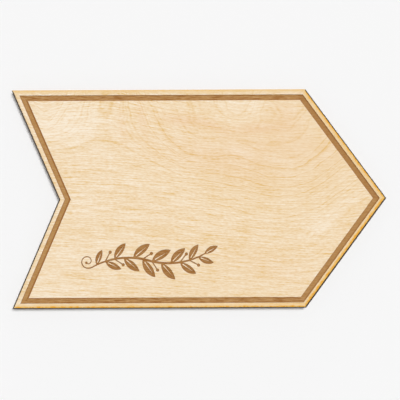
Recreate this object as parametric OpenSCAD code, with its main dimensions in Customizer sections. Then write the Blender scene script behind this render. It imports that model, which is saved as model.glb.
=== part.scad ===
// Wall sign: an arrow cut from thin plywood, engraved on its front, with a sawtooth hanger on its back.
//
// The pieces are modelled lying down, then stood up by upright(). Lying down, X runs towards the tip,
// Y runs up the wall and Z runs from the wall to the viewer. The wall is the plane Z = 0. The origin is
// where the wall nail bears, at the top of the hanger's middle notch, on the line where the board balances.

/* [Board] */
// Length from the tail corners to the tip
board_l = 305; // [260:1:400]
// Height from the bottom edge to the top edge
board_h = 178; // [150:1:240]
// Thickness of the plywood
board_t = 6; // [5.5:0.5:12]
// Depth of the arrow head, from its shoulders to the tip
head_d = 65.6; // [40:0.2:90]
// Depth of the notch in the tail
tail_d = 38.4; // [20:0.2:60]
// Width of the eased corner between each face and the cut edge
arris = 0.5; // [0.2:0.1:1.2]

/* [Engraving] */
// Depth of the engraved lines below the front face
engrave_d = 0.6; // [0.3:0.1:1]
// Plain wood between the cut edge and the border line
border_margin = 4.3; // [2:0.1:8]
// Width of the border line
border_w = 4.5; // [2:0.1:8]

/* [Sprig] */
// Distance of the sprig's middle from the tail corners
sprig_from_tail = 111; // [95:1:140]
// Height of the sprig's middle above the bottom edge
sprig_up = 39; // [32:1:70]
// Lean of the whole sprig, with its tip raised
sprig_lean = 7; // [0:1:15]
// Radius of the stem's two bends
stem_r = 60; // [45:1:90]
// Angle that each bend turns through
stem_turn = 46; // [30:1:60]
// Width of the stem at its middle
stem_w = 1.9; // [1:0.1:3]
// Width of the stem at its two ends
stem_end_w = 0.9; // [0.5:0.1:1.5]
// Number of leaves along the stem
leaf_count = 12; // [4:2:14]
// Length of the longest leaf
leaf_l = 18; // [10:0.5:22]
// Width of the longest leaf
leaf_w = 6.6; // [3:0.2:9]
// Angle between a leaf and the stem
leaf_angle = 44; // [25:1:65]
// Width of the uncut rib where it leaves the stem
rib_w = 0.9; // [0.4:0.1:1.5]
// Radius of a berry
berry_r = 1.3; // [0.8:0.1:2.2]
// Length of a berry's stalk
stalk_l = 8.5; // [4:0.5:10]
// Radius of the tendril's first turn
tendril_r = 6; // [4:0.5:8]

/* [Hanger strip] */
// Distance from the board's top edge down to the wall nail
hang_drop = 24; // [18:1:40]
// Length of the strip
strip_l = 48; // [44:1:60]
// Width of the strip before its teeth are cut
strip_w = 9.5; // [8:0.5:12]
// Thickness of the strip
strip_t = 0.9; // [0.6:0.1:1.2]
// Height of the raised middle above the two tabs
strip_raise = 1.4; // [1.3:0.1:2.5]
// Run of each slope between a tab and the raised middle
slope_l = 2.2; // [1.8:0.1:4]
// Inside radius of the strip's bends
bend_r = 0.5; // [0.3:0.1:0.8]
// Distance from tooth to tooth
tooth_pitch = 2.2; // [1.6:0.1:3]
// Depth of the teeth
tooth_d = 1.6; // [1:0.1:2.2]
// Flat left at the tip of each tooth
tooth_flat = 0.3; // [0.2:0.1:0.6]
// Width of the middle notch at the strip's edge
notch_w = 3.8; // [3:0.1:5]
// Depth of the middle notch
notch_d = 2.7; // [2.3:0.1:3.5]

/* [Screws] */
// Diameter of a screw's shank
shank_d = 2.2; // [1.6:0.1:2.6]
// Length of a screw under its head
shank_l = 5; // [3.6:0.1:5.8]
// Length of the screw's point
point_l = 1.6; // [1:0.1:2.4]
// Diameter of a screw's head
screw_head_d = 4.4; // [3.8:0.1:5]
// Height of a screw's head
screw_head_h = 1.2; // [0.9:0.1:1.3]
// Width of a slot of the cross recess
recess_w = 0.6; // [0.4:0.1:0.9]
// Depth of the cross recess
recess_d = 0.6; // [0.4:0.1:0.8]

/* [Clearances] */
// Gap between a screw's shank and the strip's hole, all round
strip_hole_gap = 0.1; // [0.05:0.05:0.3]
// Gap between a screw's shank and its pilot hole in the board, all round
pilot_gap = 0.05; // [0.05:0.05:0.2]
// Depth of the pilot hole past the screw's point
pilot_spare = 0.3; // [0.2:0.1:0.5]
// Gap between a screw's head and the bend beside it
head_gap = 0.6; // [0.4:0.1:1.5]

/* [Hidden] */
$fn = 96;

// How far a cutting shape runs past the surface it cuts
past = 1;
// Straight pieces in each bend of the strip, and in each half of the stem or turn of the tendril
bend_steps = 6;
stroke_steps = 20;

half_h = board_h / 2;
// Run of each slanted edge for 1 mm of height
head_slope = head_d / half_h;
tail_slope = tail_d / half_h;
// Sideways run of a line set in by 1 mm from each slanted edge
head_inset_run = sqrt(1 + head_slope * head_slope);
tail_inset_run = sqrt(1 + tail_slope * tail_slope);

// Width and half length of the slabs that the board's half is cut from
slab_reach = 2 * board_l;

// The board's back lies on the strip's two tabs
board_back = strip_raise + strip_t;
// Where the board balances, from the middle of its length: the rectangle less the head's two corners
// and the tail's notch, each a triangle with its own centre
head_moment = head_d * (board_l / 2 - head_d / 3);
tail_moment = tail_d * (board_l / 2 - tail_d / 3);
balance_x = (tail_moment - head_moment) / (2 * board_l - head_d - tail_d);
board_middle = [-balance_x, hang_drop - half_h];

sprig_middle = [sprig_from_tail - board_l / 2, sprig_up - half_h];
tendril_turn = 430;
tendril_shrink = 0.74;

// The strip's toothed edge is its lower one, and the middle notch reaches up to the origin
strip_low = -notch_d;
strip_high = strip_low + strip_w;
screw_x = strip_l / 2 - strip_w / 2;
screw_y = (strip_low + strip_high) / 2;
tab_start = screw_x - screw_head_d / 2 - head_gap;
raised_end = tab_start - slope_l;
slope_angle = atan(strip_raise / slope_l);
teeth_each_side = floor((raised_end - notch_w / 2) / tooth_pitch);
pilot_d = shank_l - strip_t + pilot_spare;

// X of the head's and the tail's edge at height y above the middle, set in from the cut edge
function head_x(y, inset) = board_l / 2 - head_slope * abs(y) - inset * head_inset_run;
function tail_x(y, inset) = tail_d - board_l / 2 - tail_slope * abs(y) + inset * tail_inset_run;

// The arrow's outline, set in by the same distance from all six edges
function arrow_outline(inset) = let (top = half_h - inset) [
    [tail_x(top, inset), top], [head_x(top, inset), top], [head_x(0, inset), 0],
    [head_x(top, inset), -top], [tail_x(top, inset), -top], [tail_x(0, inset), 0]
];

// Points on an arc about a centre, from one angle to another
function arc_points(centre, r, from, to) = [
    for (i = [0 : bend_steps])
        let (a = from + (to - from) * i / bend_steps) centre + r * [cos(a), sin(a)]
];

// The stem is two arcs that meet at the middle, an S on its side. At t = -1 it starts, and at t = 1 it
// ends in the tip leaf. Its heading swings down to the middle and up again.
function stem_heading(t) = stem_turn * (abs(t) - 0.5);
function stem_point(t) = let (a = stem_turn / 2, h = stem_heading(t))
    sign(t) * stem_r * [sin(a) + sin(h), cos(a) - cos(h)];
function stem_width(t) = stem_end_w + (stem_w - stem_end_w) * (1 - t * t);

// The tendril leaves the stem's start backwards and winds up over it, tighter as it goes
function tendril_point(s) = let (
        out = stem_heading(-1) + 90,
        a = out + 180 - tendril_turn * s,
        r = tendril_r * (1 - tendril_shrink * s)
    ) stem_point(-1) + tendril_r * [cos(out), sin(out)] + r * [cos(a), sin(a)];

// Both sides of a brush stroke: the line through the points, with a width at each
function stroke_side(points, widths, side) = [
    for (i = [0 : len(points) - 1])
        let (
            ahead = points[min(i + 1, len(points) - 1)] - points[max(i - 1, 0)],
            across = [-ahead[1], ahead[0]] / norm(ahead)
        ) points[i] + side * across * widths[i] / 2
];
function reversed(list) = [for (i = [len(list) - 1 : -1 : 0]) list[i]];

module upright() { rotate([90, 0, 0]) children(); }

// A wide slab with one eased cut edge, which runs along the line from one point to the next. The slab
// lies to the right of that line, seen from the front.
module eased_slab(from, to) {
    run = to - from;
    translate((from + to) / 2)
        rotate(atan2(run[1], run[0]) - 90)
            rotate([90, 0, 0]) linear_extrude(2 * slab_reach, center = true)
                polygon([
                    [arris, 0], [0, arris], [0, board_t - arris], [arris, board_t],
                    [slab_reach, board_t], [slab_reach, 0]
                ]);
}

// The upper half of the board is what three eased slabs share above its middle line. It has no inner
// corner, and with its mirror image it makes the mitre in the tail.
module half_board() {
    tail_foot = [tail_x(0, 0), 0];
    tail_corner = [tail_x(half_h, 0), half_h];
    shoulder = [head_x(half_h, 0), half_h];
    tip = [head_x(0, 0), 0];
    intersection() {
        translate([-slab_reach, 0, 0]) cube([2 * slab_reach, slab_reach, board_t]);
        eased_slab(tail_foot, tail_corner);
        eased_slab(tail_corner, shoulder);
        eased_slab(shoulder, tip);
    }
}

module border_line() {
    difference() {
        polygon(arrow_outline(border_margin));
        polygon(arrow_outline(border_margin + border_w));
    }
}

module brush_stroke(points, widths) {
    polygon(concat(stroke_side(points, widths, 1), reversed(stroke_side(points, widths, -1))));
}

// A leaf along X from its foot: two arcs that meet in points, one fuller than the other, with an
// uncut rib that narrows to nothing
module leaf(size, side) {
    l = leaf_l * size;
    full = leaf_w * size * 0.6;
    lean = leaf_w * size * 0.4;
    full_r = (l * l / 4 + full * full) / (2 * full);
    lean_r = (l * l / 4 + lean * lean) / (2 * lean);
    difference() {
        intersection() {
            translate([l / 2, side * (full - full_r)]) circle(full_r);
            translate([l / 2, side * (lean_r - lean)]) circle(lean_r);
        }
        polygon([[l * 0.16, -rib_w / 2], [l * 0.82, 0], [l * 0.16, rib_w / 2]]);
    }
}

module stem() {
    steps = [for (i = [-stroke_steps : stroke_steps]) i / stroke_steps];
    brush_stroke([for (t = steps) stem_point(t)], [for (t = steps) stem_width(t)]);
}

module tendril() {
    steps = [for (i = [0 : stroke_steps]) i / stroke_steps];
    brush_stroke([for (s = steps) tendril_point(s)], [for (s = steps) stem_end_w * (1 - s / 4)]);
    translate(tendril_point(1)) circle(berry_r * 0.8);
}

module berry() {
    translate([0, -stem_end_w / 2]) square([stalk_l, stem_end_w]);
    translate([stalk_l, 0]) circle(berry_r);
}

// Leaves stand out to the two sides in turn. Opposite every second pair of them, and between two
// others, stands a berry.
module sprig() {
    stem();
    tendril();
    for (i = [0 : leaf_count - 1]) {
        t = -0.9 + 1.76 * i / (leaf_count - 1);
        side = i % 2 == 0 ? 1 : -1;
        size = 0.68 + 0.32 * cos(90 * t);
        translate(stem_point(t)) rotate(stem_heading(t) + side * leaf_angle) leaf(size, side);
        if (i % 4 == 1 || i % 4 == 2)
            translate(stem_point(t)) rotate(stem_heading(t) - side * leaf_angle) berry();
    }
    translate(stem_point(1)) rotate(stem_heading(1)) translate([-past, 0]) leaf(0.7, 1);
}

module engraving() {
    border_line();
    translate(sprig_middle) rotate(sprig_lean) sprig();
}

module board_lying() {
    difference() {
        translate([board_middle[0], board_middle[1], board_back])
            difference() {
                union() {
                    half_board();
                    mirror([0, 1, 0]) half_board();
                }
                translate([0, 0, board_t - engrave_d]) linear_extrude(engrave_d + past) engraving();
            }
        for (side = [-1, 1])
            translate([side * screw_x, screw_y, board_back - past])
                cylinder(h = pilot_d + past, r = shank_d / 2 + pilot_gap);
    }
}

module board() { color("burlywood") upright() board_lying(); }

// The strip seen from its end: flat tabs on the board, slopes, and a middle raised to the wall. Each
// side is half of the section; X is the distance from the middle and Y the distance from the wall.
function half_section() = let (
        half_turn = tan(slope_angle / 2),
        wide_r = bend_r + strip_t,
        low = [raised_end - wide_r * half_turn, wide_r],
        high = [tab_start + bend_r * half_turn, strip_raise - bend_r]
    ) concat(
        arc_points(low, wide_r, -90, slope_angle - 90),
        arc_points(high, bend_r, 90 + slope_angle, 90),
        [[strip_l / 2, strip_raise], [strip_l / 2, board_back]],
        arc_points(high, wide_r, 90, 90 + slope_angle),
        arc_points(low, bend_r, slope_angle - 90, -90)
    );

module strip_section() {
    half = half_section();
    polygon(concat(half, reversed([for (p = half) [-p[0], p[1]]])));
}

module tooth_gap(w, depth) {
    low = w / 2 * (1 + past / depth);
    translate([0, strip_low]) polygon([[-low, -past], [0, depth], [low, -past]]);
}

module strip_outline() {
    difference() {
        union() {
            translate([-screw_x, strip_low]) square([2 * screw_x, strip_w]);
            for (side = [-1, 1]) translate([side * screw_x, screw_y]) circle(strip_w / 2);
        }
        tooth_gap(notch_w, notch_d);
        for (side = [-1, 1], i = [0 : teeth_each_side - 1])
            translate([side * (notch_w / 2 + tooth_flat + tooth_pitch * (i + 0.5)), 0])
                tooth_gap(tooth_pitch - tooth_flat, tooth_d);
        for (side = [-1, 1])
            translate([side * screw_x, screw_y]) circle(shank_d / 2 + strip_hole_gap);
    }
}

module sawtooth_hanger() {
    color("goldenrod") upright()
        intersection() {
            translate([0, strip_high + past, 0])
                rotate([90, 0, 0]) linear_extrude(strip_w + 2 * past) strip_section();
            translate([0, 0, -past]) linear_extrude(board_back + 2 * past) strip_outline();
        }
}

// A domed head with a cross recess, a round shank and a point
module screw(side) {
    rim_h = screw_head_h * 0.4;
    dome_h = screw_head_h - rim_h;
    dome_r = (screw_head_d * screw_head_d / 4 + dome_h * dome_h) / (2 * dome_h);
    translate([side * screw_x, screw_y, strip_raise]) {
        difference() {
            intersection() {
                translate([0, 0, -screw_head_h]) cylinder(h = screw_head_h, r = screw_head_d / 2);
                translate([0, 0, dome_r - screw_head_h]) sphere(dome_r);
            }
            for (turn = [0, 90])
                rotate(turn) translate([0, 0, recess_d / 2 - screw_head_h - past / 2])
                    cube([screw_head_d * 0.6, recess_w, recess_d + past], center = true);
        }
        cylinder(h = shank_l - point_l, r = shank_d / 2);
        translate([0, 0, shank_l - point_l]) cylinder(h = point_l, r1 = shank_d / 2, r2 = shank_d / 12);
    }
}

module hanger_screw_left() { color("khaki") upright() screw(-1); }

module hanger_screw_right() { color("khaki") upright() screw(1); }

board();
sawtooth_hanger();
hanger_screw_left();
hanger_screw_right();
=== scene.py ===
"""A laser-engraved plywood arrow sign on a wall: its finishes, its screws, the studio and the camera.

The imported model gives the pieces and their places. The board keeps its own mesh and is dressed in
birch veneer. The hanger strip gets rounded edges, and the screws get a turned head and a thread.
Sizes of the sign are in millimetres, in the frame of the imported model, and meshes are in metres.
"""

from __future__ import annotations

import logging
import math
from dataclasses import dataclass
from enum import Enum
from typing import Union

import bmesh
import bpy
import numpy as np
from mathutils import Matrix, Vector

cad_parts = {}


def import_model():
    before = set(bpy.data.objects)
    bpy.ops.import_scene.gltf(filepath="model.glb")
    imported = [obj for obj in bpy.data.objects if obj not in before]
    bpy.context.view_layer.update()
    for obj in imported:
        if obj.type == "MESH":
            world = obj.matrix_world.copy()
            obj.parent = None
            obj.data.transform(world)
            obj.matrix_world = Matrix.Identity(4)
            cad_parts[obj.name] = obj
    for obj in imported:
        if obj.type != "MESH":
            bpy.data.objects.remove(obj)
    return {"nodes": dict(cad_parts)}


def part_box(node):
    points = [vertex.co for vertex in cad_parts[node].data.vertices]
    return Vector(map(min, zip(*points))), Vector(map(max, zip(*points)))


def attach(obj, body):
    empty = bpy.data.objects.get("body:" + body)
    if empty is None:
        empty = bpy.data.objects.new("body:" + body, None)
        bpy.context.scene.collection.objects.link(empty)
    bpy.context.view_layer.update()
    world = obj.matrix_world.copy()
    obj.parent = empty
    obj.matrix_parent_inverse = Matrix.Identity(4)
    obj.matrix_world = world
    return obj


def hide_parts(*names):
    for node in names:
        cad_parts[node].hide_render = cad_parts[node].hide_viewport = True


LOG = logging.getLogger("arrow_sign")
MM = 0.001

Colour = tuple[float, float, float]
Feed = Union["Term", float, Colour]


def linear(colour: Colour) -> tuple[float, float, float, float]:
    """Turns a colour of 0 to 255 as a screen shows it into the linear one that a shader takes.

    Args:
        colour: Red, green and blue from 0 to 255.

    Returns:
        Red, green, blue and a full alpha, each from 0 to 1.
    """
    share = np.asarray(colour, float) / 255.0
    straight = share / 12.92
    curved = ((share + 0.055) / 1.055) ** 2.4
    red, green, blue = np.where(share <= 0.04045, straight, curved)
    return float(red), float(green), float(blue), 1.0


class SocketKind(Enum):
    """The kinds of value that a node group takes and gives."""

    NUMBER = "NodeSocketFloat"
    PLACE = "NodeSocketVector"


@dataclass(frozen=True)
class Term:
    """One value in a shader tree, so that a sum of nodes is written as a sum."""

    bench: Bench
    socket: bpy.types.NodeSocket

    def __add__(self, other: Feed) -> Term:
        """The sum of two values."""
        return self.bench.math("ADD", self, other)

    def __sub__(self, other: Feed) -> Term:
        """The first value less the second."""
        return self.bench.math("SUBTRACT", self, other)

    def __rsub__(self, other: Feed) -> Term:
        """The first value less the second."""
        return self.bench.math("SUBTRACT", other, self)

    def __mul__(self, other: Feed) -> Term:
        """The product of two values."""
        return self.bench.math("MULTIPLY", self, other)

    def __truediv__(self, other: Feed) -> Term:
        """The first value divided by the second."""
        return self.bench.math("DIVIDE", self, other)

    def __abs__(self) -> Term:
        """The value without its sign."""
        return self.bench.math("ABSOLUTE", self)

    __radd__ = __add__
    __rmul__ = __mul__


class Bench:
    """Adds nodes to one shader tree and joins them."""

    def __init__(self, tree: bpy.types.NodeTree) -> None:
        """Takes the tree to work on.

        Args:
            tree: A material's, world's or group's node tree.
        """
        self.tree = tree

    def node(self, kind: str, **settings: object) -> bpy.types.Node:
        """Adds a node and sets its options.

        Args:
            kind: The node's type name.
            **settings: Values for the node's own properties.

        Returns:
            The new node.
        """
        made = self.tree.nodes.new(kind)
        for name, value in settings.items():
            setattr(made, name, value)
        return made

    def feed(self, socket: bpy.types.NodeSocket, value: Feed) -> None:
        """Joins a value to a socket, or sets the socket to a plain number or colour.

        Args:
            socket: The input to fill.
            value: A value of this tree, a number or a colour.
        """
        if isinstance(value, Term):
            self.tree.links.new(value.socket, socket)
        else:
            socket.default_value = value

    def math(self, operation: str, first: Feed, second: Feed = 0.0) -> Term:
        """Adds a Math node.

        Args:
            operation: The node's operation.
            first: The first value.
            second: The second value.

        Returns:
            The node's result.
        """
        made = self.node("ShaderNodeMath", operation=operation)
        for socket, value in zip(made.inputs, (first, second)):
            self.feed(socket, value)
        return Term(self, made.outputs[0])

    def lesser(self, first: Feed, second: Feed) -> Term:
        """The lesser of two values."""
        return self.math("MINIMUM", first, second)

    def greater(self, first: Feed, second: Feed) -> Term:
        """The greater of two values."""
        return self.math("MAXIMUM", first, second)

    def step(self, value: Term, start: float, end: float) -> Term:
        """A soft step: 0 where the value is at start, 1 where it is at end, and smooth between.

        Args:
            value: The value to test.
            start: Where the step begins. It may be greater than end.
            end: Where the step is full.

        Returns:
            A mask from 0 to 1.
        """
        made = self.node("ShaderNodeMapRange", interpolation_type="SMOOTHSTEP")
        self.feed(made.inputs["Value"], value)
        made.inputs["From Min"].default_value = min(start, end)
        made.inputs["From Max"].default_value = max(start, end)
        made.inputs["To Min"].default_value = 0.0 if start < end else 1.0
        made.inputs["To Max"].default_value = 1.0 if start < end else 0.0
        return Term(self, made.outputs["Result"])

    def place(self, across: Feed, up: Feed, deep: Feed = 0.0) -> Term:
        """Joins three numbers into a place."""
        made = self.node("ShaderNodeCombineXYZ")
        for socket, value in zip(made.inputs, (across, up, deep)):
            self.feed(socket, value)
        return Term(self, made.outputs[0])

    def parts(self, place: Term) -> tuple[Term, Term, Term]:
        """Splits a place into its three numbers."""
        made = self.node("ShaderNodeSeparateXYZ")
        self.feed(made.inputs[0], place)
        across, up, deep = (Term(self, socket) for socket in made.outputs)
        return across, up, deep

    def noise(self, place: Term, detail: float = 2.0, rough: float = 0.5, drift: float = 0.0) -> Term:
        """Smooth noise of about one spot for each unit of the place.

        Args:
            place: Where the noise is read.
            detail: How many finer layers are added.
            rough: How strong the finer layers are.
            drift: How far the noise is pushed about by itself.

        Returns:
            A value round 0.5.
        """
        made = self.node("ShaderNodeTexNoise", noise_dimensions="3D")
        self.feed(made.inputs["Vector"], place)
        made.inputs["Scale"].default_value = 1.0
        made.inputs["Detail"].default_value = detail
        made.inputs["Roughness"].default_value = rough
        made.inputs["Distortion"].default_value = drift
        return Term(self, made.outputs["Fac"])

    def blend(self, amount: Feed, first: Feed, second: Feed) -> Term:
        """Mixes two colours.

        Args:
            amount: How much of the second colour shows, from 0 to 1.
            first: The first colour.
            second: The second colour.

        Returns:
            The mixed colour.
        """
        made = self.node("ShaderNodeMix", data_type="RGBA", clamp_factor=True)
        self.feed(made.inputs[0], amount)
        self.feed(made.inputs[6], first)
        self.feed(made.inputs[7], second)
        return Term(self, made.outputs[2])

    def shaders(self, amount: Term, first: bpy.types.Node, second: bpy.types.Node,
                out: bpy.types.Node) -> bpy.types.Node:
        """Mixes two shaders into the surface.

        Args:
            amount: How much of the second shader shows.
            first: The node of the first shader.
            second: The node of the second shader.
            out: The tree's output node.

        Returns:
            The node that mixes them.
        """
        made = self.node("ShaderNodeMixShader")
        self.feed(made.inputs[0], amount)
        self.tree.links.new(first.outputs[0], made.inputs[1])
        self.tree.links.new(second.outputs[0], made.inputs[2])
        self.tree.links.new(made.outputs[0], out.inputs["Surface"])
        return made

    def object_mm(self) -> tuple[Term, Term, Term]:
        """The point's own X, Y and Z on the object, in millimetres."""
        made = self.node("ShaderNodeTexCoord")
        across, deep, up = self.parts(Term(self, made.outputs["Object"]))
        return across / MM, deep / MM, up / MM

    def bump(self, height: Term, strength: float) -> Term:
        """Turns a height in millimetres into a normal.

        Args:
            height: The height of the surface detail.
            strength: How much of it shows.

        Returns:
            The bent normal.
        """
        made = self.node("ShaderNodeBump")
        made.inputs["Strength"].default_value = strength
        made.inputs["Distance"].default_value = MM
        self.feed(made.inputs["Height"], height)
        return Term(self, made.outputs["Normal"])


class EffectGroup:
    """A shader node group with named inputs and outputs, built once and placed where it is needed."""

    def __init__(self, name: str, takes: dict[str, SocketKind], gives: dict[str, SocketKind]) -> None:
        """Makes the empty group.

        Args:
            name: The group's name.
            takes: Its inputs and their kinds.
            gives: Its outputs and their kinds.
        """
        self.tree = bpy.data.node_groups.new(name, "ShaderNodeTree")
        for label, kind in takes.items():
            self.tree.interface.new_socket(name=label, in_out="INPUT", socket_type=kind.value)
        for label, kind in gives.items():
            self.tree.interface.new_socket(name=label, in_out="OUTPUT", socket_type=kind.value)
        self.bench = Bench(self.tree)
        self.entry = self.bench.node("NodeGroupInput")
        self.exit = self.bench.node("NodeGroupOutput")

    def taken(self, label: str) -> Term:
        """The value at one of the group's inputs."""
        return Term(self.bench, self.entry.outputs[label])

    def give(self, label: str, value: Term) -> None:
        """Sends a value to one of the group's outputs."""
        self.bench.feed(self.exit.inputs[label], value)

    def use(self, bench: Bench, **values: Feed) -> dict[str, Term]:
        """Places the group in another tree.

        Args:
            bench: The bench of that tree.
            **values: What each input gets, by its name in lower case.

        Returns:
            The group's outputs by name.
        """
        made = bench.node("ShaderNodeGroup", node_tree=self.tree)
        for socket in made.inputs:
            if socket.name.lower() in values:
                bench.feed(socket, values[socket.name.lower()])
        return {socket.name: Term(bench, socket) for socket in made.outputs}


@dataclass(frozen=True)
class Swell:
    """A smooth oval hill on the veneer: highest in its middle and level outside it."""

    across: float
    up: float
    half_length: float
    half_height: float
    lift: float
    turn: float = 0.0

    def height(self, bench: Bench, place: Term) -> Term:
        """The hill's height: its lift times e to the minus square of the distance from its middle.

        The distance is counted in half lengths along the hill and half heights across it.

        Args:
            bench: The bench to work on.
            place: Millimetres from the middle of the board, along it and up it.

        Returns:
            The height at that place.
        """
        local = bench.node("ShaderNodeMapping", vector_type="TEXTURE")
        bench.feed(local.inputs["Vector"], place)
        local.inputs["Location"].default_value = (self.across, self.up, 0.0)
        local.inputs["Rotation"].default_value = (0.0, 0.0, math.radians(self.turn))
        local.inputs["Scale"].default_value = (self.half_length, self.half_height, 1.0)
        square = bench.node("ShaderNodeVectorMath", operation="DOT_PRODUCT")
        bench.tree.links.new(local.outputs[0], square.inputs[0])
        bench.tree.links.new(local.outputs[0], square.inputs[1])
        return self.lift * bench.math("EXPONENT", Term(bench, square.outputs["Value"]) * -1.0)


def piled(bench: Bench, place: Term, swells: tuple[Swell, ...], base: Feed) -> Term:
    """Adds the heights of several swells to a base value."""
    total = base
    for swell in swells:
        total = total + swell.height(bench, place)
    return total


@dataclass(frozen=True)
class BirchFigure:
    """How the growth rings run over a rotary-cut birch veneer.

    Rings are the level lines of a plane with swells on it, one for each ring pitch of height. Each
    pair of spots counts the spots of a noise along the board and aside, over rings or fibres.
    """

    ring_pitch: float = 12.0
    tilt: float = 0.01
    fibre_tilt: float = 0.05
    fibre_bend: float = 1.6
    lines_each_ring: float = 2.2
    line_drift: float = 1.8
    line_width: float = 0.16
    line_strength: float = 0.6
    ring_width: float = 0.1
    unbroken: float = 0.55
    waver_spots: tuple[float, float] = (0.05, 0.09)
    band_spots: tuple[float, float] = (0.006, 0.8)
    drift_spots: tuple[float, float] = (0.008, 0.6)
    break_spots: tuple[float, float] = (0.07, 0.9)
    dash_spots: tuple[float, float] = (0.045, 1.0)
    pore_spots: tuple[float, float] = (0.07, 1.0)
    fibre_spots: tuple[float, float] = (0.3, 1.3)
    curl_spots: tuple[float, float] = (0.05, 0.03)
    calm: tuple[Swell, ...] = (Swell(90, 50, 70, 55, 1.0), Swell(-30, -65, 110, 25, 0.3))
    swells: tuple[Swell, ...] = (
        Swell(-125, 100, 10, 30, -4.5),
        Swell(-75, 100, 30, 40, 4.5),
        Swell(-5, 50, 30, 35, -2.5),
        Swell(45, 75, 35, 30, -3.0),
        Swell(55, 75, 15, 20, 2.0),
        Swell(90, 25, 70, 45, -5.0),
        Swell(140, 10, 55, 50, 4.25),
        Swell(85, -50, 90, 35, -2.0),
    )
    dark_rings: tuple[float, ...] = (-6.0, -5.2, -4.2, -3.2, -0.9)
    faint_rings: tuple[float, ...] = (-8.3, -7.6, -3.8, -2.4, -1.7, -0.4, 0.6, 1.4, 2.2, 3.2, 4.2, 5.2, 6.4)
    faintness: float = 0.55

    def late_wood(self, bench: Bench, ring: Term) -> Term:
        """The rings that stand out: 1 along a dark one, less along a faint one, 0 a ring width off.

        Args:
            bench: The bench to work on.
            ring: Which ring the place lies on.

        Returns:
            A mask from 0 to 1.
        """
        shown: Feed = 0.0
        for rings, strength in ((self.dark_rings, 1.0), (self.faint_rings, self.faintness)):
            for height in rings:
                on_ring = bench.step(abs(ring - height), self.ring_width, 0.0)
                shown = bench.greater(on_ring * strength, shown)
        return shown

    def streaks(self, bench: Bench, along: Term, aside: Term, spots: tuple[float, float], seed: Term,
                detail: float = 1.0, rough: float = 0.55) -> Term:
        """Noise drawn out along the rings or the fibres.

        Args:
            bench: The bench to work on.
            along: Millimetres along the board.
            aside: Which ring or which fibre the place lies on.
            spots: Spots for each millimetre along, and for each ring or fibre aside.
            seed: Moves the noise, so that two layers differ.
            detail: How many finer layers are added.
            rough: How strong the finer layers are.

        Returns:
            A value round 0.5.
        """
        return bench.noise(bench.place(along * spots[0], aside * spots[1], seed), detail, rough)

    def build(self) -> EffectGroup:
        """Makes the group: rings counted up the board, lifted by the swells, and streaks along them.

        Returns:
            The group. Bands are broad, Lines are rings, Dashes are soft strokes, Pores are a few short
            dark ones, Fibre is fine, Curl is cloudy, and Calm is 1 where rings outdo the strokes.
        """
        shown = ("Bands", "Lines", "Dashes", "Pores", "Fibre", "Curl", "Calm")
        group = EffectGroup(
            "birch_figure",
            {"Place": SocketKind.PLACE, "Seed": SocketKind.NUMBER},
            {label: SocketKind.NUMBER for label in shown},
        )
        bench = group.bench
        place = group.taken("Place")
        seed = group.taken("Seed")
        along, up, _ = bench.parts(place)
        waver = self.streaks(bench, along, up, self.waver_spots, seed, 2.0, 0.5) - 0.5
        bend = piled(bench, place, self.swells, waver * 0.5)
        ring = bend - (up + along * self.tilt) / self.ring_pitch
        fibres = up + along * self.fibre_tilt - bend * self.fibre_bend

        bands = self.streaks(bench, along, ring, self.band_spots, seed + 1.0, 2.0)
        drift = self.streaks(bench, along, ring, self.drift_spots, seed + 5.0)
        breaks = self.streaks(bench, along, ring, self.break_spots, seed + 9.0)
        dashes = self.streaks(bench, along, fibres, self.dash_spots, seed + 13.0, 1.0, 0.5)
        pores = self.streaks(bench, along, fibres, self.pore_spots, seed + 27.0, 1.0, 0.5)
        fibre = self.streaks(bench, along, fibres, self.fibre_spots, seed + 17.0, 2.0, 0.6)
        curl_place = bench.place(along * self.curl_spots[0], up * self.curl_spots[1], seed + 21.0)
        curl = bench.noise(curl_place, 2.0, 0.6, drift=0.6)

        from_line = bench.math("PINGPONG", ring * self.lines_each_ring + drift * self.line_drift, 0.5)
        faint = bench.step(from_line, self.line_width, 0.0) * bench.step(breaks, 0.34, 0.66)
        late = self.late_wood(bench, ring + (drift - 0.5) * 0.3)
        late = late * (bench.step(breaks, 0.26, 0.56) * (1.0 - self.unbroken) + self.unbroken)

        group.give("Bands", bench.step(bands, 0.34, 0.68))
        group.give("Lines", bench.greater(faint * self.line_strength, late))
        group.give("Dashes", bench.step(dashes, 0.32, 0.68))
        group.give("Pores", bench.step(pores, 0.56, 0.72))
        group.give("Fibre", fibre)
        group.give("Curl", curl)
        group.give("Calm", piled(bench, place, self.calm, 0.0))
        return group


@dataclass(frozen=True)
class EdgeWear:
    """Where a metal edge is rubbed: the normal rounded over a small radius leaves the true one."""

    radius: float = 0.22
    samples: int = 6

    def build(self) -> EffectGroup:
        """Makes the group.

        Returns:
            The group. Rubbed is 1 on an edge and 0 on a flat, broken up by noise.
        """
        group = EffectGroup("edge_wear", {"Place": SocketKind.PLACE}, {"Rubbed": SocketKind.NUMBER})
        bench = group.bench
        rounded = bench.node("ShaderNodeBevel", samples=self.samples)
        rounded.inputs["Radius"].default_value = self.radius * MM
        true_normal = bench.node("ShaderNodeNewGeometry")
        turned = bench.node("ShaderNodeVectorMath", operation="DOT_PRODUCT")
        bench.tree.links.new(rounded.outputs[0], turned.inputs[0])
        bench.tree.links.new(true_normal.outputs["Normal"], turned.inputs[1])
        edge = bench.step(Term(bench, turned.outputs["Value"]), 0.985, 0.86)
        across, up, deep = bench.parts(group.taken("Place"))
        broken = bench.noise(bench.place(across * 0.9, up * 0.9, deep * 0.9), 2.0)
        group.give("Rubbed", edge * bench.step(broken, 0.3, 0.6))
        return group


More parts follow.
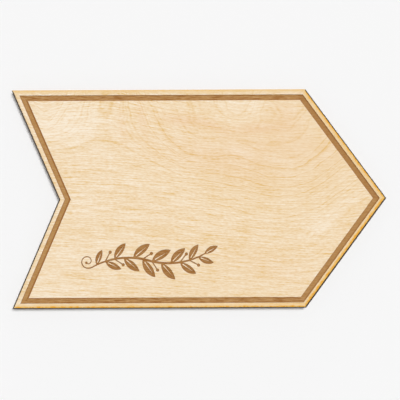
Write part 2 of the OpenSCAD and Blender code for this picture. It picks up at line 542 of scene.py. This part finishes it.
class PlatingMarks:
    """The fine marks of rolled and plated steel: brushing, scratches and dull patches."""

    def build(self) -> EffectGroup:
        """Makes the group.

        Returns:
            The group. Brushing and Dull lie round 0.5, and Scratch is 1 on a scratch.
        """
        group = EffectGroup(
            "plating_marks",
            {"Place": SocketKind.PLACE, "Stretch": SocketKind.NUMBER},
            {label: SocketKind.NUMBER for label in ("Brushing", "Scratch", "Dull")},
        )
        bench = group.bench
        across, up, deep = bench.parts(group.taken("Place"))
        long_way = across / group.taken("Stretch")
        brushing = bench.noise(bench.place(long_way * 3.0, up * 7.0, deep * 7.0), 3.0, 0.6)
        scratch = bench.noise(bench.place((across + up) * 0.5, (up - across * 0.3) * 9.0, deep * 9.0), 1.0)
        dull = bench.noise(bench.place(across * 0.35, up * 0.35, deep * 0.35), 3.0, 0.6)
        group.give("Brushing", brushing)
        group.give("Scratch", bench.step(scratch, 0.7, 0.78))
        group.give("Dull", dull)
        return group


@dataclass(frozen=True)
class PlatedMetal:
    """Brass-plated steel."""

    name: str
    brass: Colour
    rubbed: Colour
    tarnish: Colour
    stretch: float
    roughness: float

    def material(self, marks: EffectGroup, wear: EffectGroup) -> bpy.types.Material:
        """Makes the material.

        Args:
            marks: The group of plating marks.
            wear: The group of edge wear.

        Returns:
            The material.
        """
        made = new_material(self.name)
        bench = Bench(made.node_tree)
        shader = made.node_tree.nodes["Principled BSDF"]
        place = bench.place(*bench.object_mm())
        shown = marks.use(bench, place=place, stretch=self.stretch)
        rubbed = wear.use(bench, place=place)["Rubbed"]
        tarnished = bench.step(shown["Dull"], 0.5, 0.75) * 0.6
        brushed = bench.step(shown["Brushing"], 0.35, 0.7) * 0.25
        dulled = bench.blend(tarnished, linear(self.brass), linear(self.tarnish))
        streaked = bench.blend(brushed, dulled, linear(self.rubbed))
        bench.feed(shader.inputs["Base Color"], bench.blend(rubbed * 0.8, streaked, linear(self.rubbed)))
        shader.inputs["Metallic"].default_value = 1.0
        rough = self.roughness + (shown["Brushing"] - 0.5) * 0.22 + shown["Dull"] * 0.1 - rubbed * 0.08
        bench.feed(shader.inputs["Roughness"], rough)
        height = shown["Brushing"] * 0.012 - shown["Scratch"] * 0.01
        bench.feed(shader.inputs["Normal"], bench.bump(height, 0.7))
        return made


def placed(name: str, data: bpy.types.ID) -> bpy.types.Object:
    """Makes an object of a mesh, a lamp or a camera and puts it into the scene."""
    made = bpy.data.objects.new(name, data)
    bpy.context.scene.collection.objects.link(made)
    return made


def new_material(name: str) -> bpy.types.Material:
    """Makes an empty material with nodes."""
    made = bpy.data.materials.new(name)
    made.use_nodes = True
    return made


@dataclass(frozen=True)
class BoardPlace:
    """A place on the board, in millimetres from its middle and its front face, and against its edges.

    Nearest is how far inside the nearest edge it lies. Head, tail and level tell which edge that is,
    and upper is 1 over the middle.
    """

    bench: Bench
    across: Term
    up: Term
    below: Term
    nearest: Term
    head: Term
    tail: Term
    level: Term
    upper: Term

    def spots(self, along: float, high: float, seed: float, detail: float = 2.0,
              rough: float = 0.5) -> Term:
        """Noise over the board's face.

        Args:
            along: Spots for each millimetre along the board.
            high: Spots for each millimetre up it.
            seed: Moves the noise, so that two layers differ.
            detail: How many finer layers are added.
            rough: How strong the finer layers are.

        Returns:
            A value round 0.5.
        """
        place = self.bench.place(self.across * along, self.up * high, seed)
        return self.bench.noise(place, detail, rough)

    def by_edge(self, top: float, foot: float, head_up: float, head_low: float, tail: float) -> Term:
        """Picks a number by the edge that the place belongs to.

        Args:
            top: The number at the level top edge.
            foot: At the level bottom edge.
            head_up: At the head's upper edge.
            head_low: At the head's lower edge.
            tail: At both edges of the tail.

        Returns:
            The number, blended where two edges meet.
        """
        at_level = self.level * (foot + self.upper * (top - foot))
        at_head = self.head * (head_low + self.upper * (head_up - head_low))
        return at_level + at_head + self.tail * tail


@dataclass(frozen=True)
class EngravedBirch:
    """Birch plywood, cut and engraved by a laser: pale veneer, brown pockets and charred edges, with shade
    painted into the pockets and the rim and a highlight painted on the top arris.

    Skin is how far behind a face its colour ends, and rim how far inside the edge the pockets begin.
    """

    pale: Colour = (250, 235, 213)
    deep: Colour = (226, 183, 104)
    stained: Colour = (231, 180, 132)
    amber: Colour = (235, 165, 32)
    amber_pale: Colour = (237, 185, 82)
    toasted_and_highlight: Colour = (236, 199, 136)
    char_and_shade: Colour = (44, 34, 30)
    brown: Colour = (183, 138, 82)
    brown_dark: Colour = (150, 97, 42)
    brown_light: Colour = (197, 156, 107)
    wall_brown: Colour = (122, 78, 40)
    ply_light: Colour = (150, 108, 68)
    ply_dark: Colour = (104, 70, 44)
    glue: Colour = (54, 36, 26)
    back_pale: Colour = (249, 231, 202)
    back_deep: Colour = (221, 182, 132)
    back_shift: tuple[float, float] = (40.0, -30.0)
    back_squeeze: float = 0.9
    back_seed: float = 40.0
    skin: float = 0.06
    skin_full: float = 0.01
    rim: float = 2.0
    roughness: float = 0.62
    specular: float = 0.28
    grain_relief: float = 0.004
    cut_relief: float = 0.05
    stain_strength: float = 0.8
    stains: tuple[Swell, ...] = (
        Swell(-14, 64, 17, 5, 0.34, -8),
        Swell(10, 60, 14, 4, 0.22, -24),
        Swell(48, 57, 20, 5, 0.30, 4),
        Swell(72, 66, 14, 18, 0.2, 30),
        Swell(62, 40, 70, 16, 0.18, -4),
        Swell(20, 28, 60, 14, 0.14, -14),
        Swell(-62, 60, 4, 14, 0.16, 8),
        Swell(-46, 66, 4, 14, 0.22, 12),
        Swell(60, -56, 34, 12, 0.08, -12),
    )
    pale_patches: tuple[Swell, ...] = (
        Swell(-108, 62, 32, 20, -0.3, 0),
        Swell(32, 76, 24, 5, -0.16, -2),
        Swell(-125, -60, 26, 40, -0.10, 0),
        Swell(100, -26, 30, 20, -0.10, 0),
        Swell(-80, -28, 56, 56, -0.07, 0),
    )

    def veneer(self, shown: dict[str, Term]) -> Term:
        """How deep the veneer's colour is at a place, from 0 to 1, without its stains.

        Args:
            shown: The outputs of the group of growth rings there.

        Returns:
            The depth of colour.
        """
        strokes = (shown["Dashes"] - 0.5) * 0.34 + (shown["Fibre"] - 0.5) * 1.3 + shown["Pores"] * 0.26
        depth = shown["Bands"] * 0.12 + strokes * (1.0 - shown["Calm"] * 0.45)
        return depth + shown["Lines"] * (0.26 + shown["Calm"] * 0.12) + (shown["Curl"] - 0.5) * 0.25 + 0.33

    def front(self, spot: BoardPlace, place: Term, grain: dict[str, Term], board: ArrowBoard) -> Term:
        """Colours the front: veneer with its pale patches and stains, and the scorched margin with its
        painted shade.

        Args:
            spot: The place on the board.
            place: The same place, along the board and up it, as one value.
            grain: The growth rings there.
            board: The board, for its sizes.

        Returns:
            The colour of the front face.
        """
        bench = spot.bench
        depth = piled(bench, place, self.pale_patches, self.veneer(grain))
        front = bench.blend(depth, linear(self.pale), linear(self.deep))
        stain = piled(bench, place, self.stains, 0.0) * self.stain_strength
        return self.scorched_and_shaded(spot, bench.blend(stain, front, linear(self.stained)), board)

    def rear(self, spot: BoardPlace, grain: dict[str, Term]) -> Term:
        """Colours the back: plain veneer, with a halo of smoke along the edge.

        Args:
            spot: The place on the board.
            grain: The growth rings there.

        Returns:
            The colour of the back face.
        """
        bench = spot.bench
        depth = self.veneer(grain) * 0.6 + 0.2
        rear = bench.blend(depth, linear(self.back_pale), linear(self.back_deep))
        halo = bench.step(spot.nearest, 2.6, 0.2) * bench.step(spot.spots(0.12, 0.12, 3.0), 0.3, 0.7)
        return bench.blend(halo * 0.7, rear, linear(self.toasted_and_highlight))

    def material(self, board: ArrowBoard, figure: EffectGroup) -> bpy.types.Material:
        """Makes the board's material, which tells its surfaces apart by their place.

        Args:
            board: The board, for its sizes.
            figure: The group of growth rings.

        Returns:
            The material.
        """
        made = new_material("birch_ply_engraved")
        bench = Bench(made.node_tree)
        shader = made.node_tree.nodes["Principled BSDF"]
        spot = board.locate(bench)
        place = bench.place(spot.across, spot.up)
        right, raised = self.back_shift
        mirrored = bench.place(spot.across * -1.0 + right, spot.up * self.back_squeeze + raised)
        grain = figure.use(bench, place=place, seed=0.0)
        back_grain = figure.use(bench, place=mirrored, seed=self.back_seed)

        face = bench.step(spot.below, self.skin, self.skin_full)
        back = bench.step(spot.below, board.thickness - self.skin, board.thickness - self.skin_full)
        inner = bench.step(spot.nearest, self.rim - 0.2, self.rim)
        shallow = bench.step(spot.below, board.engraving + 0.4, board.engraving + 0.2)
        pocket = inner * shallow * (1.0 - face)
        at_floor = bench.step(spot.below, board.engraving - self.skin, board.engraving - self.skin_full)
        floor = pocket * at_floor
        edge, striation = self.cut_edge(spot, board)
        # The pocket colour holds the burn and the painted shade by the walls.
        burnt, raster = self.pocket_colour(spot, floor, board)

        colour = bench.blend(face, edge, self.front(spot, place, grain, board))
        colour = bench.blend(back, colour, self.rear(spot, back_grain))
        colour = self.char_rim_and_painted_shade(spot, bench.blend(pocket, colour, burnt), board)
        bench.feed(shader.inputs["Base Color"], colour)
        rough = self.roughness + (grain["Fibre"] - 0.5) * 0.16 + pocket * 0.22
        bench.feed(shader.inputs["Roughness"], rough)
        shader.inputs["Specular IOR Level"].default_value = self.specular

        flat_relief = (grain["Fibre"] - grain["Dashes"]) * self.grain_relief
        back_relief = (back_grain["Fibre"] - back_grain["Dashes"]) * self.grain_relief
        height = flat_relief * face + back_relief * back + raster * floor * self.cut_relief
        height = height + striation * (1.0 - face) * (1.0 - back) * (1.0 - pocket) * self.cut_relief
        bench.feed(shader.inputs["Normal"], bench.bump(height, 0.8))
        return made

    def scorched_and_shaded(self, spot: BoardPlace, front: Term, board: ArrowBoard) -> Term:
        """Colours the strip outside the engraved line, where the laser's heat has toasted the veneer.

        The amber rim there is partly scorch tint and partly painted shade, wide along the foot and the
        head.

        Args:
            spot: The place on the board.
            front: The veneer's colour there.
            board: The board, for its sizes.

        Returns:
            The colour with the toasted strip and its amber rim of scorch and painted shade.
        """
        bench = spot.bench
        smoke = spot.spots(0.09, 0.12, 7.0, 3.0, 0.6) - 0.5
        fine = spot.spots(0.35, 0.35, 9.0, 3.0, 0.6) - 0.5
        strip = bench.step(spot.nearest, board.margin + 0.3, board.margin - 0.3)
        reach = spot.by_edge(top=3.8, foot=7.0, head_up=8.5, head_low=8.5, tail=3.8)
        strength = spot.by_edge(top=0.85, foot=1.0, head_up=1.0, head_low=1.0, tail=0.4)
        toast = bench.step(1.0 - spot.nearest / reach + smoke * 0.5, 0.0, 1.0) * strength * strip
        front = bench.blend(toast, front, linear(self.toasted_and_highlight))
        # Painted shade: the amber rim is laid wide along the foot and the head and thin along the top and
        # the tail.
        reach = spot.by_edge(top=0.3, foot=1.6, head_up=1.85, head_low=2.7, tail=0.3)
        amber = bench.step(reach - spot.nearest + smoke * 1.6 + fine * 2.4, -0.7, 0.7)
        patchy = bench.blend(bench.step(fine, 0.1, -0.1), linear(self.amber), linear(self.amber_pale))
        return bench.blend(amber, front, patchy)

    def char_rim_and_painted_shade(self, spot: BoardPlace, colour: Term, board: ArrowBoard) -> Term:
        """Chars the front's outermost rim and corner, with painted shade in it, apart from the top edge,
        whose arris gets a painted highlight.

        Args:
            spot: The place on the board.
            colour: The colour so far.
            board: The board, for its sizes.

        Returns:
            The colour with the charred rim, its painted shade and the top arris's painted highlight.
        """
        bench = spot.bench
        ragged = spot.spots(0.7, 0.7, 11.0) - 0.5
        # Painted shade: the dark rim is partly char and partly shade. It is widest along the head's lower
        # edge and the tail, and the top gets none.
        width = spot.by_edge(top=-0.6, foot=0.8, head_up=0.88, head_low=1.32, tail=1.0)
        front_half = bench.step(spot.below, board.thickness * 0.4, board.thickness * 0.2)
        char_and_shade = bench.step(width - spot.nearest + ragged * 0.4, -0.2, 0.2) * front_half
        # Painted highlight: the top edge's arris gets the pale toasted colour, as if lit from above.
        painted_top_highlight = bench.step(spot.nearest, board.arris + 0.1, board.arris) * spot.level * spot.upper
        painted_top_highlight = painted_top_highlight * bench.step(spot.below, board.arris + 0.15, board.arris)
        char_rim_and_painted_shade = bench.blend(char_and_shade * 0.95, colour, linear(self.char_and_shade))
        return bench.blend(painted_top_highlight, char_rim_and_painted_shade, linear(self.toasted_and_highlight))

    def pocket_colour(self, spot: BoardPlace, floor: Term, board: ArrowBoard) -> tuple[Term, Term]:
        """Colours the engraved pockets: raster lines along the board, with painted shade near the walls.

        The border line gets a painted shadow, darkest along its outer wall at the head and its inner wall
        at the tail, the wall on its right at both, and the sprig is burnt a little darker than the line.

        Args:
            spot: The place on the board.
            floor: 1 on a pocket's floor.
            board: The board, for its sizes.

        Returns:
            The colour, and the raster lines for the bump.
        """
        bench = spot.bench
        dark = linear(self.brown_dark)
        raster = spot.spots(0.1, 1.4, 2.0, 2.0, 0.65)
        mottle = bench.step(spot.spots(0.35, 0.6, 5.0), 0.35, 0.7) * 0.6
        burnt = bench.step(raster, 0.42, 0.66) * (spot.level * 0.6 + 0.4)
        colour = bench.blend(burnt, bench.blend(mottle, linear(self.brown), linear(self.brown_light)), dark)
        # Painted shade: ambient occlusion darkens the pocket floor near its walls.
        near_wall = bench.node("ShaderNodeAmbientOcclusion", only_local=True, samples=12)
        near_wall.inputs["Distance"].default_value = 1.0 * MM
        shaded = bench.step(Term(bench, near_wall.outputs["AO"]), 0.95, 0.6)
        colour = bench.blend(shaded * 0.6, colour, dark)
        # Painted shadow: the wall on the right of the line shades its floor, the outer wall at the head and
        # the inner one at the tail.
        inner_wall = board.margin + board.line_width
        outer_wall_shadow = bench.step(spot.nearest, board.margin + 1.5, board.margin)
        outer_wall_shadow = outer_wall_shadow * spot.by_edge(top=0.25, foot=0.35, head_up=1.0, head_low=0.9, tail=0.0)
        inner = bench.step(spot.nearest, inner_wall - 1.7, inner_wall - 0.7)
        inner = inner * spot.by_edge(top=0.25, foot=0.3, head_up=0.0, head_low=0.0, tail=1.3)
        in_line = bench.step(spot.nearest, inner_wall + 0.6, inner_wall)
        colour = bench.blend((outer_wall_shadow + inner) * in_line * 0.7, colour, dark)
        toward_head = spot.by_edge(top=0.0, foot=0.0, head_up=0.36, head_low=0.14, tail=0.0) * in_line
        colour = bench.blend(toward_head + (1.0 - in_line) * 0.36, colour, dark)
        return bench.blend(1.0 - floor, colour, linear(self.wall_brown)), raster

    def cut_edge(self, spot: BoardPlace, board: ArrowBoard) -> tuple[Term, Term]:
        """Colours the cut edge: charred plies, dark glue lines and the beam's striations.

        Args:
            spot: The place on the board.
            board: The board, for its sizes.

        Returns:
            The colour, and the striations for the bump.
        """
        bench = spot.bench
        cut = bench.place(spot.across * 2.6, spot.up * 2.6, spot.below * 0.12)
        striation = bench.noise(cut, 2.0, 0.6)
        grain = bench.noise(bench.place(spot.across * 0.25, spot.up * 0.25, spot.below * 3.0), 2.0, 0.6)
        turn = bench.math("PINGPONG", spot.below * (board.plies / board.thickness), 1.0)
        crosswise = bench.step(turn, 0.42, 0.58)
        seam = bench.step(abs(turn - 0.5), 0.14, 0.04)
        colour = bench.blend(crosswise, linear(self.ply_light), linear(self.ply_dark))
        colour = bench.blend(bench.step(grain, 0.4, 0.7) * 0.5, colour, linear(self.ply_dark))
        colour = bench.blend(bench.step(striation, 0.45, 0.7) * 0.45, colour, linear(self.char_and_shade))
        return bench.blend(seam * 0.8, colour, linear(self.glue)), striation


@dataclass
class ArrowBoard:
    """The arrow itself, cut from one sheet of plywood, with its engraved border and sprig."""

    node: str = "board"
    head_depth: float = 65.6
    tail_depth: float = 38.4
    margin: float = 4.3
    line_width: float = 4.5
    engraving: float = 0.6
    arris: float = 0.5
    plies: int = 5
    middle_x: float = 0.0
    middle_z: float = 0.0
    front_y: float = 0.0
    half_length: float = 0.0
    half_height: float = 0.0
    thickness: float = 0.0

    def measure(self) -> None:
        """Takes the board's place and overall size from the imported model."""
        low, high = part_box(self.node)
        self.middle_x = (low.x + high.x) / 2 / MM
        self.middle_z = (low.z + high.z) / 2 / MM
        self.front_y = low.y / MM
        self.half_length = (high.x - low.x) / 2 / MM
        self.half_height = (high.z - low.z) / 2 / MM
        self.thickness = (high.y - low.y) / MM

    def locate(self, bench: Bench) -> BoardPlace:
        """Tells how a shaded point lies on the board.

        The level edges lie half the height away. The head's edge falls back from the point by the
        head's depth over half the height, and the tail's edge runs back from the notch likewise.
        The nearest edge owns the place, and at a mitre two edges share it.

        Args:
            bench: The bench to work on.

        Returns:
            The place.
        """
        x_mm, y_mm, z_mm = bench.object_mm()
        across = x_mm - self.middle_x
        up = z_mm - self.middle_z
        off_middle = abs(up)
        head_slope = self.head_depth / self.half_height
        tail_slope = self.tail_depth / self.half_height
        notch = self.tail_depth - self.half_length
        level = self.half_height - off_middle
        head = (self.half_length - off_middle * head_slope - across) / math.hypot(1.0, head_slope)
        tail = (across - notch + off_middle * tail_slope) / math.hypot(1.0, tail_slope)
        at_head = bench.step(bench.lesser(level, tail) - head, -0.2, 0.2)
        at_tail = bench.step(bench.lesser(level, head) - tail, -0.2, 0.2)
        return BoardPlace(
            bench=bench,
            across=across,
            up=up,
            below=y_mm - self.front_y,
            nearest=bench.lesser(level, bench.lesser(head, tail)),
            head=at_head,
            tail=at_tail,
            level=1.0 - at_head - at_tail,
            upper=bench.step(up, -0.8, 0.8),
        )

    def dress(self, node: bpy.types.Object, material: bpy.types.Material) -> None:
        """Gives the board its finish."""
        node.material_slots[0].material = material


@dataclass
class HangerStrip:
    """The bent and toothed strip on the back. Its stamped edges are slightly rounded."""

    node: str = "sawtooth_hanger"
    edge_round: float = 0.12
    round_steps: int = 2
    sharp_angle: float = 38.0
    flat_angle: float = 0.5
    weld: float = 0.001

    def build(self, packed: bpy.types.Object) -> bpy.types.Object:
        """Copies the strip's solid, joins its loose triangles into faces and rounds its edges.

        Args:
            packed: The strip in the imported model.

        Returns:
            The rounded strip.
        """
        shape = bmesh.new()
        shape.from_mesh(packed.data)
        bmesh.ops.remove_doubles(shape, verts=shape.verts, dist=self.weld * MM)
        flat = math.radians(self.flat_angle)
        bmesh.ops.dissolve_limit(shape, angle_limit=flat, verts=shape.verts, edges=shape.edges)
        mesh = bpy.data.meshes.new("toothed_strip")
        shape.to_mesh(mesh)
        shape.free()
        strip = placed("toothed_strip", mesh)
        mesh.shade_smooth()
        mesh.set_sharp_from_angle(angle=math.radians(self.sharp_angle))
        rounding = strip.modifiers.new("stamped_edge", "BEVEL")
        rounding.width = self.edge_round * MM
        rounding.segments = self.round_steps
        rounding.limit_method = "ANGLE"
        rounding.angle_limit = math.radians(self.sharp_angle)
        rounding.harden_normals = True
        return strip

    def dress(self, strip: bpy.types.Object, material: bpy.types.Material) -> None:
        """Gives the strip its finish and lets it stand for its solid."""
        strip.data.materials.clear()
        strip.data.materials.append(material)
        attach(strip, "root")
        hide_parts(self.node)


@dataclass
class HangerScrew:
    """A small pan-head screw with a cross recess and a threaded shank."""

    node: str
    name: str
    shank_length: float = 5.0
    shank_radius: float = 1.1
    root_radius: float = 0.8
    point_length: float = 1.6
    tip_radius: float = 0.12
    pitch: float = 0.75
    neck_length: float = 0.5
    head_radius: float = 2.2
    head_height: float = 1.2
    rim_height: float = 0.48
    corner_round: float = 0.1
    arm_length: float = 1.32
    arm_width: float = 0.6
    arm_depth: float = 0.6
    wall_run: float = 0.14
    end_slope: float = 0.6
    ridge_half: float = 0.3
    neck_share: float = 0.45
    sharp_angle: float = 42.0
    turn_steps: int = 120
    head_steps: int = 44
    shank_steps: int = 110

    def head_surface(self, angle: np.ndarray, share: np.ndarray) -> tuple[np.ndarray, np.ndarray]:
        """The head's domed top, as radius and height over the seat.

        The height is that of a ball whose top is the head's height over the seat and which meets
        the rim, less the recess: two crossed slots whose walls and ends slope in over the wall run.

        Args:
            angle: The angle round the screw's axis.
            share: 0 at the middle of the head and 1 at its rim.

        Returns:
            Radius and height, in millimetres.
        """
        radius = self.head_radius * share
        dome = self.head_height - self.rim_height
        ball = (self.head_radius**2 + dome**2) / (2 * dome)
        height = self.head_height - ball + np.sqrt(ball**2 - radius**2)
        depth = np.zeros_like(height)
        for turn in (0.0, math.pi / 2):
            along = np.abs(radius * np.cos(angle - turn))
            side = np.abs(radius * np.sin(angle - turn))
            within = np.minimum(self.arm_width / 2 - side, (self.arm_length - along) * self.end_slope)
            depth = np.maximum(depth, np.clip(within / self.wall_run, 0.0, 1.0))
        floor = self.head_height - self.arm_depth
        return radius, height - (height - floor) * depth

    def shank_surface(self, angle: np.ndarray, share: np.ndarray) -> tuple[np.ndarray, np.ndarray]:
        """The threaded shank, as radius and height under the seat.

        The root narrows to the tip over the point's length. A ridge one pitch wide winds round it:
        how far a place lies through its turn is its depth over the pitch less its angle in turns.

        Args:
            angle: The angle round the screw's axis.
            share: 0 under the head and 1 at the tip.

        Returns:
            Radius and height, in millimetres.
        """
        deep = self.shank_length * share
        to_tip = np.clip((self.shank_length - deep) / self.point_length, 0.0, 1.0)
        tip = self.tip_radius / self.shank_radius
        narrowing = tip + (1 - tip) * to_tip
        through = np.mod(deep / self.pitch - angle / (2 * math.pi), 1.0)
        ridge = np.clip(1.0 - np.abs(through - 0.5) / self.ridge_half, 0.0, 1.0)
        started = np.clip((deep - self.neck_length) / self.pitch, 0.0, 1.0)
        rise = self.shank_radius - self.root_radius
        neck = self.root_radius + rise * self.neck_share * (1 - started)
        return (neck + rise * ridge * started) * narrowing, -deep

    def build(self) -> bpy.types.Object:
        """Turns the screw's profile round its axis, from the middle of the head to the tip.

        Returns:
            The screw, in place.
        """
        low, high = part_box(self.node)
        middle = (low + high) / 2 / MM
        seat = low.y / MM + self.shank_length
        head = np.linspace(0.0, 1.0, self.head_steps + 1)[1:]
        shank = np.linspace(0.0, 1.0, self.shank_steps + 1)
        angles = np.linspace(0.0, 2 * math.pi, self.turn_steps, endpoint=False)
        top_r, top_h = self.head_surface(*np.meshgrid(angles, head))
        low_r, low_h = self.shank_surface(*np.meshgrid(angles, shank))
        rim_r = np.array([self.head_radius, self.head_radius, self.head_radius - self.corner_round])
        rim_h = np.array([self.rim_height - self.corner_round, self.corner_round, 0.0])
        rim_r, rim_h = (np.repeat(row[:, None], self.turn_steps, axis=1) for row in (rim_r, rim_h))
        top_r[-1] = self.head_radius - self.corner_round
        radius = np.vstack([top_r, rim_r, low_r])
        height = np.vstack([top_h, rim_h, low_h])
        points = np.stack(
            [middle.x + radius * np.cos(angles), seat + height, middle.z + radius * np.sin(angles)], axis=-1
        )
        crown = self.head_height - self.arm_depth
        poles = np.array([[middle.x, seat + crown, middle.z], [middle.x, low.y / MM, middle.z]])
        return revolved(self.name, points * MM, poles * MM)

    def dress(self, screw: bpy.types.Object, material: bpy.types.Material) -> None:
        """Gives the screw its finish and lets it stand for its solid."""
        screw.data.materials.append(material)
        screw.data.shade_smooth()
        screw.data.set_sharp_from_angle(angle=math.radians(self.sharp_angle))
        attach(screw, "root")
        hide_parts(self.node)


def revolved(name: str, rings: np.ndarray, poles: np.ndarray) -> bpy.types.Object:
    """Makes a closed mesh of rings of points, with a pole at each end.

    Args:
        name: The object's name.
        rings: Points by ring, by place round the ring and by X, Y and Z, in metres.
        poles: The first and the last pole.

    Returns:
        The object.
    """
    count, turns, _ = rings.shape
    index = np.arange(count * turns).reshape(count, turns)
    after = np.roll(index, -1, axis=1)
    quads = np.stack([index[:-1], after[:-1], after[1:], index[1:]], axis=-1).reshape(-1, 4)
    first, last = count * turns, count * turns + 1
    start = np.stack([np.full(turns, first), after[0], index[0]], axis=-1)
    end = np.stack([np.full(turns, last), index[-1], after[-1]], axis=-1)
    mesh = bpy.data.meshes.new(name)
    points = np.vstack([rings.reshape(-1, 3), poles])
    mesh.from_pydata(points.tolist(), [], start.tolist() + quads.tolist() + end.tolist())
    shape = bmesh.new()
    shape.from_mesh(mesh)
    bmesh.ops.recalc_face_normals(shape, faces=shape.faces)
    shape.to_mesh(mesh)
    shape.free()
    return placed(name, mesh)


@dataclass
class Studio:
    """The plain wall, the floor, the lamps and the camera."""

    frame_px: float = 400.0
    px_per_mm: float = 1.228
    sign_px: tuple[float, float] = (199.12, 198.86)
    sign_turn: float = 0.249
    lens: float = 85.0
    sensor: float = 36.0
    wall_gap: float = 0.5
    floor_drop: float = 600.0
    reach: float = 4.0
    paint: Colour = (249, 249, 249)
    wall_glow: float = 0.08
    sky_share: float = 0.19
    key_share: float = 0.79
    key_travel: tuple[float, float, float] = (-0.21, 1.0, -0.27)
    overhead_share: float = 0.12
    overhead_travel: tuple[float, float, float] = (0.0, 0.0, -1.0)
    back_share: float = 0.85
    back_travel: tuple[float, float, float] = (0.5, -1.0, -0.6)
    lamp_spread: float = 17.0
    near_clip: float = 0.01

    def camera(self, board: ArrowBoard) -> None:
        """Sets the camera straight in front of the sign.

        The distance is the one at which a frame's width of the board's face fills the frame. The
        aim is off the sign's middle by as much as the sign is off the middle of the photograph.

        Args:
            board: The board, for its place.
        """
        data = bpy.data.cameras.new("camera")
        data.lens = self.lens
        data.sensor_width = self.sensor
        data.clip_start = self.near_clip
        made = placed("camera", data)
        right_of = (self.frame_px / 2 - self.sign_px[0]) / self.px_per_mm
        under = (self.frame_px / 2 - self.sign_px[1]) / self.px_per_mm
        turn = math.radians(self.sign_turn)
        aim_x = board.middle_x + right_of * math.cos(turn) - under * math.sin(turn)
        aim_z = board.middle_z - under * math.cos(turn) - right_of * math.sin(turn)
        distance = self.frame_px / self.px_per_mm * self.lens / self.sensor
        made.location = Vector((aim_x, board.front_y - distance, aim_z)) * MM
        made.rotation_mode = "XYZ"
        made.rotation_euler = (math.radians(90.0), turn, 0.0)
        bpy.context.scene.camera = made

    def sun(self, name: str, travel: tuple[float, float, float], share: float, bounces: int = 8) -> None:
        """Adds a soft distant lamp.

        Its strength is such that a white surface facing the lamp's main axis gets that share of full white.

        Args:
            name: The lamp's name.
            travel: The way that its light goes.
            share: How bright it makes that surface.
            bounces: How often its light is thrown on by what it meets.
        """
        way = Vector(travel).normalized()
        data = bpy.data.lights.new(name, "SUN")
        data.energy = share * math.pi / max(abs(part) for part in way)
        data.angle = math.radians(self.lamp_spread)
        data.cycles.max_bounces = bounces
        made = placed(name, data)
        made.rotation_mode = "QUATERNION"
        made.rotation_quaternion = way.to_track_quat("-Z", "Y")

    def sky(self) -> None:
        """Lights the scene evenly, and shows as the wall's colour wherever no wall is in view."""
        world = bpy.data.worlds.new("studio")
        bpy.context.scene.world = world
        world.use_nodes = True
        bench = Bench(world.node_tree)
        out = world.node_tree.nodes["World Output"]
        lit = world.node_tree.nodes["Background"]
        lit.inputs["Color"].default_value = (1.0, 1.0, 1.0, 1.0)
        lit.inputs["Strength"].default_value = self.sky_share
        shown = bench.node("ShaderNodeBackground")
        shown.inputs["Color"].default_value = linear(self.paint)
        shown.inputs["Strength"].default_value = 1.0
        path = bench.node("ShaderNodeLightPath")
        seen: Feed = 0.0
        for ray in ("Is Camera Ray", "Is Glossy Ray", "Is Transmission Ray"):
            seen = bench.greater(Term(bench, path.outputs[ray]), seen)
        bench.shaders(seen, lit, shown, out)

    def panel(self, name: str, corners: list[tuple[float, float, float]]) -> None:
        """Adds a flat painted panel that shows only from its front.

        Args:
            name: The panel's name.
            corners: Its corners in metres, anticlockwise as seen from its front.
        """
        mesh = bpy.data.meshes.new(name)
        mesh.from_pydata(corners, [], [tuple(range(len(corners)))])
        made = placed(name, mesh)
        paint = new_material(name + "_paint")
        bench = Bench(paint.node_tree)
        shader = paint.node_tree.nodes["Principled BSDF"]
        out = paint.node_tree.nodes["Material Output"]
        shader.inputs["Base Color"].default_value = linear(self.paint)
        shader.inputs["Roughness"].default_value = 1.0
        shader.inputs["Specular IOR Level"].default_value = 0.0
        glow = bench.node("ShaderNodeEmission")
        glow.inputs["Color"].default_value = linear(self.paint)
        path = bench.node("ShaderNodeLightPath")
        lit = bench.shaders(Term(bench, path.outputs["Is Camera Ray"]) * self.wall_glow, shader, glow, out)
        side = bench.node("ShaderNodeNewGeometry")
        clear = bench.node("ShaderNodeBsdfTransparent")
        bench.shaders(Term(bench, side.outputs["Backfacing"]), lit, clear, out)
        mesh.materials.append(paint)
        made.visible_shadow = False
        made.visible_diffuse = False
        made.visible_glossy = False
        made.visible_transmission = False

    def build(self, board: ArrowBoard) -> None:
        """Sets up the whole studio round the board."""
        back = self.wall_gap * MM
        foot = (board.middle_z - board.half_height - self.floor_drop) * MM
        far = self.reach
        self.panel("wall", [(-far, back, foot), (far, back, foot), (far, back, far), (-far, back, far)])
        self.panel("floor", [(-far, -far, foot), (far, -far, foot), (far, far, foot), (-far, far, foot)])
        self.sky()
        self.sun("key", self.key_travel, self.key_share)
        self.sun("overhead", self.overhead_travel, self.overhead_share)
        self.sun("back_key", self.back_travel, self.back_share, bounces=0)
        self.camera(board)


def main() -> None:
    """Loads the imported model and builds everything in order."""
    logging.basicConfig(level=logging.INFO, format="%(name)s: %(message)s")
    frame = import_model()
    bpy.context.view_layer.update()
    nodes = frame["nodes"]
    bpy.context.scene.view_settings.view_transform = "Standard"

    board = ArrowBoard()
    board.measure()
    Studio().build(board)
    LOG.info("studio built")

    figure = BirchFigure().build()
    board.dress(nodes[board.node], EngravedBirch().material(board, figure))
    LOG.info("board dressed")

    marks = PlatingMarks().build()
    wear = EdgeWear().build()
    strip_finish = PlatedMetal(
        name="brass_plated_strip", brass=(214, 168, 88), rubbed=(236, 214, 160), tarnish=(168, 124, 66),
        stretch=8.0, roughness=0.3,
    )
    strip = HangerStrip()
    strip.dress(strip.build(nodes[strip.node]), strip_finish.material(marks, wear))
    LOG.info("hanger strip dressed")

    screw_finish = PlatedMetal(
        name="brass_plated_screw", brass=(218, 176, 98), rubbed=(240, 222, 172), tarnish=(160, 118, 64),
        stretch=1.0, roughness=0.24,
    )
    screw_material = screw_finish.material(marks, wear)
    for side in ("left", "right"):
        screw = HangerScrew(node=f"hanger_screw_{side}", name=f"threaded_screw_{side}")
        screw.dress(screw.build(), screw_material)
        LOG.info("%s screw dressed", side)


if __name__ == "__main__":
    main()
